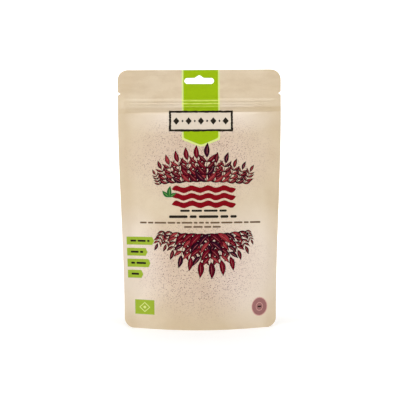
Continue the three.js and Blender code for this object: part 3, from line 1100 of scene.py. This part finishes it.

# %% [markdown]
# ### Kraft paper
#
# Kraft is warm tan with cloudy patches and short pale and dark fibres, and a matt lacquer gives it a
# faint sheen. The printed front also has painted sheen, pale patches under the zip and at its low sides,
# and a pink mist and a fine spatter round the garlands. The dots of the spatter would be thousands of
# shapes, so they are cells of a Voronoi texture instead.

# %% The kraft paper of the walls

KRAFT = colour(218, 200, 172)
KRAFT_CLOUD = colour(211, 191, 161)
KRAFT_DARK = colour(199, 176, 144)
KRAFT_PALE = colour(228, 213, 191)
# The darker tone of welded film, and of painted shade.
WELD_AND_SHADE_TONE = colour(200, 176, 138)
SPATTER = colour(120, 74, 78)
MIST = colour(206, 169, 164)
# Painted sheen: pale patches where the film would catch the soft lights.
PAINTED_SHEEN = colour(231, 217, 202)
FIBRE_SHARE = 0.5
PAINTED_SHEEN_SHARE = 0.65
MIST_SHARE = 0.5
MISTS = ((0.8, 136.0, 66.0, 42.0), (0.8, 50.0, 64.0, 47.0))
# Where the painted sheen lies: under the zip, and at the low left and right sides.
PAINTED_SHEEN_PLACES = ((2.0, 168.0, 64.0, 16.0), (-54.0, 52.0, 33.0, 48.0), (40.0, 50.0, 38.0, 56.0))


def fibres(look, stretch, scale):
    """Where the short fibres of one tone lie."""
    return look.times(look.patches(look.flat(stretch), scale, 0.56, 0.74, 4.0, 0.6), FIBRE_SHARE)


def kraft_colour(look):
    """Tan with cloudy patches, pale and dark fibres, its welds, and its painted shade."""
    base = look.mix(look.patches(look.flat(), 0.045, 0.35, 0.65), KRAFT, KRAFT_CLOUD)
    base = look.mix(fibres(look, (0.55, 2.6, 1), 0.9), base, KRAFT_DARK)
    base = look.mix(fibres(look, (2.2, 0.6, 1), 0.8), base, KRAFT_PALE)
    # Painted shade of the header's crumples.
    base = look.mix(painted_crumple_shade(look), base, KRAFT_DARK)
    # Welded darkening in the seals and the foot, and painted shade beside the seals and over the foot.
    return look.mix(weld_and_shade_mask(look), base, WELD_AND_SHADE_TONE)


def sheen_mist_and_spatter(look, base):
    """The painted sheen, and the printed pink mist and fine spatter of the front."""
    # Painted sheen under the zip and at the low sides.
    sheen = look.lightest(*[ellipse_mask(look, *place) for place in PAINTED_SHEEN_PLACES])
    base = look.mix(look.times(sheen, PAINTED_SHEEN_SHARE), base, PAINTED_SHEEN)
    mist = look.lightest(*[ellipse_mask(look, *place) for place in MISTS])
    grain = look.patches(look.flat(), 1.3, 0.40, 0.60, 4.0, 0.8)
    base = look.mix(look.times(look.times(mist, grain), MIST_SHARE), base, MIST)
    cells = look.node("ShaderNodeTexVoronoi", Scale=0.95, Randomness=1.0)
    look.link(look.flat(), cells.inputs["Vector"])
    dots = look.ramp(cells.outputs["Distance"], (0.22, 1.0), (0.38, 0.0))
    some = look.patches(look.flat(), 0.9, 0.34, 0.54, 2.0)
    return look.mix(look.times(look.times(dots, some), mist), base, SPATTER)


def kraft(name, printed):
    """Kraft paper, with painted sheen, the pink mist and the spatter on the printed front."""
    look = Look(name, 0.4)
    base = kraft_colour(look)
    if printed:
        base = sheen_mist_and_spatter(look, base)
    # Painted crease shade under the zip's flange.
    base = look.mix(painted_crease_shade(look), base, WELD_AND_SHADE_TONE)
    return look.finish(base, paper_tooth(look))


front_kraft = kraft("kraft_front", True)
back_kraft = kraft("kraft_back", False)
print("made", front_kraft.name, "and", back_kraft.name)

# %% [markdown]
# ### Inks
#
# Inks are thin: the paper's tooth shows through them, and each has its own slight mottle towards a
# darker tone. Where the ridges of the zip stand up under the film, a pale painted highlight lies along
# their crests. One function makes every ink from its tone, how much of it is mottled, and how dark the
# mottle is.

# %% Make the inks

# Painted highlight along the crests of the zip's ridges.
CREST_HIGHLIGHT = colour(238, 244, 130)
CREST_SHIFT = 0.25
CREST_REACH = 0.7
INKS = {
    "tag_green": ((152, 183, 16), 0.25, 0.8),
    "pale_green": ((216, 224, 140), 0.2, 0.9),
    "flag_green": ((154, 176, 54), 0.35, 0.85),
    "cream": ((219, 205, 187), 0.3, 0.93),
    "dark_ink": ((40, 34, 26), 0.3, 0.5),
    "brown_ink": ((112, 90, 70), 0.3, 0.7),
    "crimson": ((134, 8, 22), 0.6, 0.5),
    "maroon": ((90, 5, 28), 0.8, 0.4),
    "crimson_leaf": ((114, 5, 30), 0.8, 0.45),
    "plum": ((54, 5, 32), 0.8, 0.4),
    "rose": ((152, 44, 52), 0.8, 0.5),
    "pale_rose": ((180, 96, 90), 0.4, 0.7),
    "dark_maroon": ((22, 0, 6), 0.5, 0.5),
    "deep_green": ((44, 104, 50), 0.6, 0.6),
    "leaf_green": ((126, 176, 84), 0.3, 0.8),
    "badge": ((154, 106, 104), 0.4, 0.85),
    "badge_rim": ((206, 158, 148), 0.2, 0.9),
}


def painted_crest_highlights(look):
    """How much painted highlight lies along the crests of the zip's ridges."""
    v = look.axes(look.flat())[1]
    patchy = look.ramp(look.noise(look.flat((0.25, 1, 1)), 0.8, 3.0), (0.35, 0.55), (0.6, 1.0))
    crests = []
    for middle, height in RIDGES:
        off = look.calculate("SUBTRACT", v, middle + CREST_SHIFT)
        near = look.ramp(look.times(off, off), (0.0, 1.1 * height), (CREST_REACH**2, 0.0))
        crests.append(look.times(near, patchy))
    return look.lightest(*crests)


def printed_ink(name, tone, mottle, depth):
    """A flat ink on kraft: its tone, a mottle of this share towards a darker tone, and the paper's tooth."""
    look = Look(name, 0.55, 0.04)
    darker = [c * depth for c in tone[:3]] + [1.0]
    wash = look.patches(look.flat(), 0.45, 0.38, 0.66, roughness=0.6)
    base = look.mix(look.times(wash, mottle), tone, darker)
    # Painted highlight along the crests of the zip's ridges.
    base = look.mix(painted_crest_highlights(look), base, CREST_HIGHLIGHT)
    return look.finish(base, paper_tooth(look))


inks = {}
for name, (tone, mottle, depth) in INKS.items():
    inks[name] = printed_ink("ink_" + name, colour(*tone), mottle, depth)
print(f"{len(inks)} inks")

# %% Make the lining


def lining_look():
    """The pale plastic inside of the film."""
    look = Look("film_lining", 0.35)
    base = look.mix(look.patches(look.flat(), 0.1, 0.3, 0.7), colour(226, 222, 212), colour(212, 207, 196))
    return look.finish(base, paper_tooth(look))


lining = lining_look()
print(f"{len(bpy.data.materials)} materials")

# %% [markdown]
# ## The front wall
#
# The front wall is the sheet that everything so far leads to: the die's outline, the print, and the
# wall function with the front's own dents. It takes the place of the plain front panel of the frame.

# %% Make the front wall


def front_wall(u, v, off):
    """The front, with its own dents."""
    return wall(u, v, off, FRONT_DENTS)


ink_names = sorted({name for _, name in prints})
ink_slots = {name: FIRST_INK_SLOT + i for i, name in enumerate(ink_names)}
front_materials = [front_kraft, lining] + [inks[name] for name in ink_names]
flat, triangles, owners = triangulate(panel_outline(), [hang_hole()], prints, panel_field)
front_inks = [KRAFT_SLOT if owner < 0 else ink_slots[prints[owner][1]] for owner in owners]
front = sheet("front_wall", flat, triangles, front_wall, front_inks, front_materials)
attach(front, "root")
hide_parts("front_panel")

# %% [markdown]
# ## The back wall
#
# Both walls are cut by the same die. The back is the same film without print, with its own dents. It is
# made as a front and then turned half round, so the whole placing function serves it too.

# %% Make the back wall


def turn_about_z(piece):
    """Half a turn about the upright axis, written into the mesh."""
    co = np.zeros(len(piece.data.vertices) * 3, np.float32)
    piece.data.vertices.foreach_get("co", co)
    co = co.reshape(-1, 3) * [-1, -1, 1]
    piece.data.vertices.foreach_set("co", co.astype(np.float32).ravel())
    piece.data.update()


def back_wall(u, v, off):
    """The back before it is turned round. It sways the other way, to stay on the front in the seals."""
    point = wall(u, v, off, BACK_DENTS)
    point[..., 1] -= sway(u, v) + sway(-u, v)
    return point


flat, triangles, _ = triangulate(panel_outline(), [hang_hole()], [], panel_field)
back_inks = [KRAFT_SLOT] * len(triangles)
back = sheet("back_wall", flat, triangles, back_wall, back_inks, [back_kraft, lining])
turn_about_z(back)
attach(back, "root")
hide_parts("back_panel")

# %% [markdown]
# ## The bottom gusset
#
# The gusset is a third sheet, 80 mm deep, folded upwards in the middle. Its two leaves are welded to
# the walls below a round arch, low in the middle and high at the sides, which gives the foot its boat
# shape. Above the arch the leaves run free to the fold. On the flat drawing w runs from the front edge
# over the fold to the back.

# %% The middle line of the gusset's film

GUSSET_GAP = 0.1
GUSSET_SAG = 1.2
GUSSET_RIPPLE = 0.35
LOOSE = (2, 20)
LEAST_RISE = 0.1


def weld_height(u):
    """The height up to which a leaf is welded to its wall."""
    t = np.minimum(1, np.abs(u) / FREE)
    return np.minimum(LEAF_END, LEAF - (LEAF - FOOT_SEAL) * np.sqrt(1 - t * t))


def wall_bare(u, v):
    """A point just inside the wall's inner face, without dents, where the leaf's film lies."""
    across = across_film(u, v)
    normal = np.stack([across[..., 1], -across[..., 0], np.zeros_like(u)], axis=-1)
    normal /= np.linalg.norm(normal, axis=-1, keepdims=True)
    return inner_face(u, v) - (GUSSET_GAP + FILM / 2) * normal


def gusset_line(u, w):
    """The middle of the gusset's film at w: on the wall up to the weld, and free from there to the fold."""
    along = np.clip(np.minimum(w, 2 * LEAF - w), 0, LEAF)
    weld = weld_height(u)
    free = LEAF - weld
    part = np.clip((along - weld) / free, 0, 1)
    wall_point = wall_bare(u, np.minimum(along, weld))
    depth = np.abs(wall_point[..., 1])
    rise = np.sqrt(np.maximum(free**2 - depth**2, LEAST_RISE**2))
    sag = GUSSET_SAG * smooth(*LOOSE, free)
    ripple = GUSSET_RIPPLE * np.sin(u / 6.3 + 1) * np.sin(math.pi * part) * smooth(*LOOSE, free)
    z = wall_point[..., 2] + rise * part - sag * 4 * part * (1 - part) + ripple
    y = -depth * (1 - part)
    return np.stack([wall_point[..., 0], np.where(w > LEAF, -y, y), z], axis=-1)


sample = weld_height(np.array([0, 30, FREE]))
print("weld height of a leaf from its middle to its side, mm:", np.round(sample, 1))

# %% Make the gusset

NEAR_FOLD = 0.25


def gusset(u, w, off):
    """A point of the gusset, off from its lower face by this much."""
    after = gusset_line(u, np.minimum(w + NEAR_FOLD, 2 * LEAF))
    before = gusset_line(u, np.maximum(w - NEAR_FOLD, 0))
    run = after[..., 1:] - before[..., 1:]
    run /= np.linalg.norm(run, axis=-1, keepdims=True)
    point = gusset_line(u, w)
    lift = FILM / 2 - off
    point[..., 1] -= run[..., 1] * lift
    point[..., 2] = np.maximum(0, point[..., 2] + run[..., 0] * lift)
    point[..., 1] += sway(u, np.minimum(w, 2 * LEAF - w))
    return point


outline = [point for corner in round_corners(2 * LEAF) for point in corner]
at_fold = [39.4, 39.8, 40, 40.2, 40.6]
GUSSET_US = even_runs((-64.4, -54, 10), (-52.5, 52.5, 64), (54, 64.4, 10))
GUSSET_WS = np.concatenate([np.linspace(0.8, 38.5, 30), at_fold, np.linspace(41.5, 79.2, 30)])
gusset_kraft = kraft("kraft_gusset", False)
flat, triangles, _ = triangulate(outline, [], [], field(GUSSET_US, GUSSET_WS))
gusset_inks = [KRAFT_SLOT] * len(triangles)
foot = sheet("bottom_gusset_film", flat, triangles, gusset, gusset_inks, [gusset_kraft, lining])
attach(foot, "root")
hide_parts("bottom_gusset")

# %% [markdown]
# ## What is inside
#
# The zip strips and the fronds are solids of the frame, and they keep their shape. They only need their
# finish: milky polyethylene for the zip, and dark red, leathery, slightly salty seaweed for the fronds.
# They have no flat drawing, so their noise lies in space.

# %% Finish the zip strips and the fronds


def zip_plastic():
    """Milky polyethylene, faintly cloudy, with fine lines along the strip from the extruder."""
    look = Look("zip_polyethylene", 0.35)
    base = look.mix(look.patches(look.place(), 120, 0.3, 0.7), colour(240, 237, 228), colour(226, 222, 210))
    stretched = look.node("ShaderNodeMapping", Scale=(4, 900, 900))
    look.link(look.place(), stretched.inputs["Vector"])
    lines = look.noise(stretched.outputs["Vector"], 1.0)
    return look.finish(base, look.bump(lines, 0.3, 0.0001))


def dried_dulse():
    """Dark red frond with paler thin patches, fine wrinkles and a bloom of salt."""
    look = Look("dried_dulse", 0.55)
    thin = look.patches(look.place(), 90, 0.35, 0.7, 5.0, 0.6)
    base = look.mix(thin, colour(74, 18, 32), colour(128, 40, 52))
    salt = look.patches(look.place(), 700, 0.62, 0.78, roughness=0.7)
    base = look.mix(look.times(salt, 0.35), base, colour(206, 190, 186))
    wrinkles = look.noise(look.place(), 260, 6.0, 0.65)
    return look.finish(base, look.bump(wrinkles, 0.6, 0.0005))


def dress(names, material):
    """Gives CAD nodes a material in place of their plain one."""
    for name in names:
        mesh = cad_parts[name].data
        mesh.materials.clear()
        mesh.materials.append(material)


strips = [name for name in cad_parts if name.startswith("zip_")]
fronds = [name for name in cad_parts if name.startswith("dulse_frond")]
dress(strips, zip_plastic())
dress(fronds, dried_dulse())
print(f"{len(strips)} zip strips and {len(fronds)} fronds keep their solids")

# %% [markdown]
# ## The stage
#
# The photograph is a plain product shot on a ground that is white all round. A sheet of white paper
# lies under the pouch and curves up behind it, so that no edge shows. It glows a little, and more
# towards the back, as a backdrop with its own lamps does, which keeps the ground white without washing
# out the pouch.

# %% A pale sweep that is floor and backdrop in one, in metres

SWEEP_HALF = 2.5
SWEEP_FRONT = -2.0
SWEEP_BEND = 0.5
SWEEP_RADIUS = 0.6
SWEEP_TOP = 2.6
SWEEP_GLOW = (0.1, 0.6, 0.16, 0.5)


def sweep():
    """A sheet that is flat under the pouch and curves up behind it."""
    profile = [(SWEEP_FRONT, 0.0), (SWEEP_BEND, 0.0)]
    for angle in np.linspace(0.1, math.pi / 2, 14):
        y = SWEEP_BEND + SWEEP_RADIUS * math.sin(angle)
        profile.append((y, SWEEP_RADIUS - SWEEP_RADIUS * math.cos(angle)))
    profile.append((SWEEP_BEND + SWEEP_RADIUS, SWEEP_TOP))
    points = [(x, y, z) for y, z in profile for x in (-SWEEP_HALF, SWEEP_HALF)]
    faces = [(2 * i, 2 * i + 1, 2 * i + 3, 2 * i + 2) for i in range(len(profile) - 1)]
    mesh = bpy.data.meshes.new("sweep")
    mesh.from_pydata(points, [], faces)
    mesh.polygons.foreach_set("use_smooth", [True] * len(faces))
    piece = bpy.data.objects.new("sweep", mesh)
    bpy.context.scene.collection.objects.link(piece)
    look = Look("white_paper_sweep", 0.9)
    look.shader.inputs["Base Color"].default_value = colour(248, 248, 248)
    look.shader.inputs["Emission Color"].default_value = (1, 1, 1, 1)
    y = look.axes(look.place())[1]
    look.link(look.rescale(y, *SWEEP_GLOW), look.shader.inputs["Emission Strength"])
    mesh.materials.append(look.material)
    return piece


sweep()
print(f"a sweep {2 * SWEEP_HALF} m wide and {SWEEP_TOP} m high")

# %% [markdown]
# ## The light
#
# A large soft light stands at each side and one hangs above in front, so the middle of the wall is a
# little darker than its turned-away sides. White walls all round fill the shadows, and the ceiling over
# them is dim. Built walls would have to be moved for every new view, so they are only the light of the
# world here.

# %% Soft lights and white walls

MIDDLE = (0, 0, TOP / 2 * MM)
WALL_TOP = math.sin(math.radians(14))
WALL_FADE = 0.1
WALL_LIGHT = 0.78
CEILING_LIGHT = 0.15


def softbox(name, place, width, height, power):
    """A rectangular soft light that faces the middle of the pouch."""
    light = bpy.data.lights.new(name, "AREA")
    light.shape = "RECTANGLE"
    light.size = width
    light.size_y = height
    light.energy = power
    lamp = bpy.data.objects.new(name, light)
    lamp.location = place
    lamp.rotation_euler = (Vector(MIDDLE) - Vector(place)).to_track_quat("-Z", "Y").to_euler()
    bpy.context.scene.collection.objects.link(lamp)


def studio_walls():
    """White walls all round up to the height of the lamps, and a dim ceiling over them."""
    world = bpy.data.worlds.new("studio")
    world.use_nodes = True
    tree = world.node_tree
    place = tree.nodes.new("ShaderNodeTexCoord")
    split = tree.nodes.new("ShaderNodeSeparateXYZ")
    fade = tree.nodes.new("ShaderNodeMapRange")
    fade.inputs["From Min"].default_value = WALL_TOP
    fade.inputs["From Max"].default_value = WALL_TOP + WALL_FADE
    fade.inputs["To Min"].default_value = WALL_LIGHT
    fade.inputs["To Max"].default_value = CEILING_LIGHT
    background = tree.nodes["Background"]
    background.inputs["Color"].default_value = (1, 1, 1, 1)
    tree.links.new(place.outputs["Generated"], split.inputs[0])
    tree.links.new(split.outputs["Z"], fade.inputs["Value"])
    tree.links.new(fade.outputs[0], background.inputs["Strength"])
    bpy.context.scene.world = world


softbox("left_softbox", (-1.05, -0.35, 0.38), width=0.5, height=0.9, power=4.3)
softbox("right_softbox", (1.05, -0.35, 0.3), width=0.5, height=0.9, power=3.4)
softbox("top_softbox", (0, -0.6, 1.4), width=1.0, height=0.6, power=10.5)
studio_walls()
bpy.context.scene.view_settings.view_transform = "Standard"
print(f"{len(bpy.data.lights)} soft lights")

# %% [markdown]
# ## The camera
#
# The camera stands a metre away, a little above the middle of the pouch, with a long lens, so that
# upright edges stay nearly upright. Its lens is worked out from how much the frame spans at the pouch.
# It leans by about a quarter of a degree, because the photographed pouch stands very slightly askew.

# %% Set up the camera, in metres

DISTANCE = 1.0
CAMERA_HEIGHT = 0.1232
FRAME_WIDTH = 0.3193
SENSOR_WIDTH = 36
AIM = (0.0002, 0, 0.1018)
LEAN = math.radians(0.27)

camera_data = bpy.data.cameras.new("camera")
camera_data.sensor_width = SENSOR_WIDTH
camera_data.lens = SENSOR_WIDTH * DISTANCE / FRAME_WIDTH
camera = bpy.data.objects.new("camera", camera_data)
camera.location = (AIM[0], -DISTANCE, CAMERA_HEIGHT)
camera.rotation_euler = (Vector(AIM) - camera.location).to_track_quat("-Z", "Y").to_euler()
camera.rotation_euler.rotate_axis("Z", -LEAN)
bpy.context.scene.collection.objects.link(camera)
bpy.context.scene.camera = camera
print(f"lens {camera_data.lens:.0f} mm")
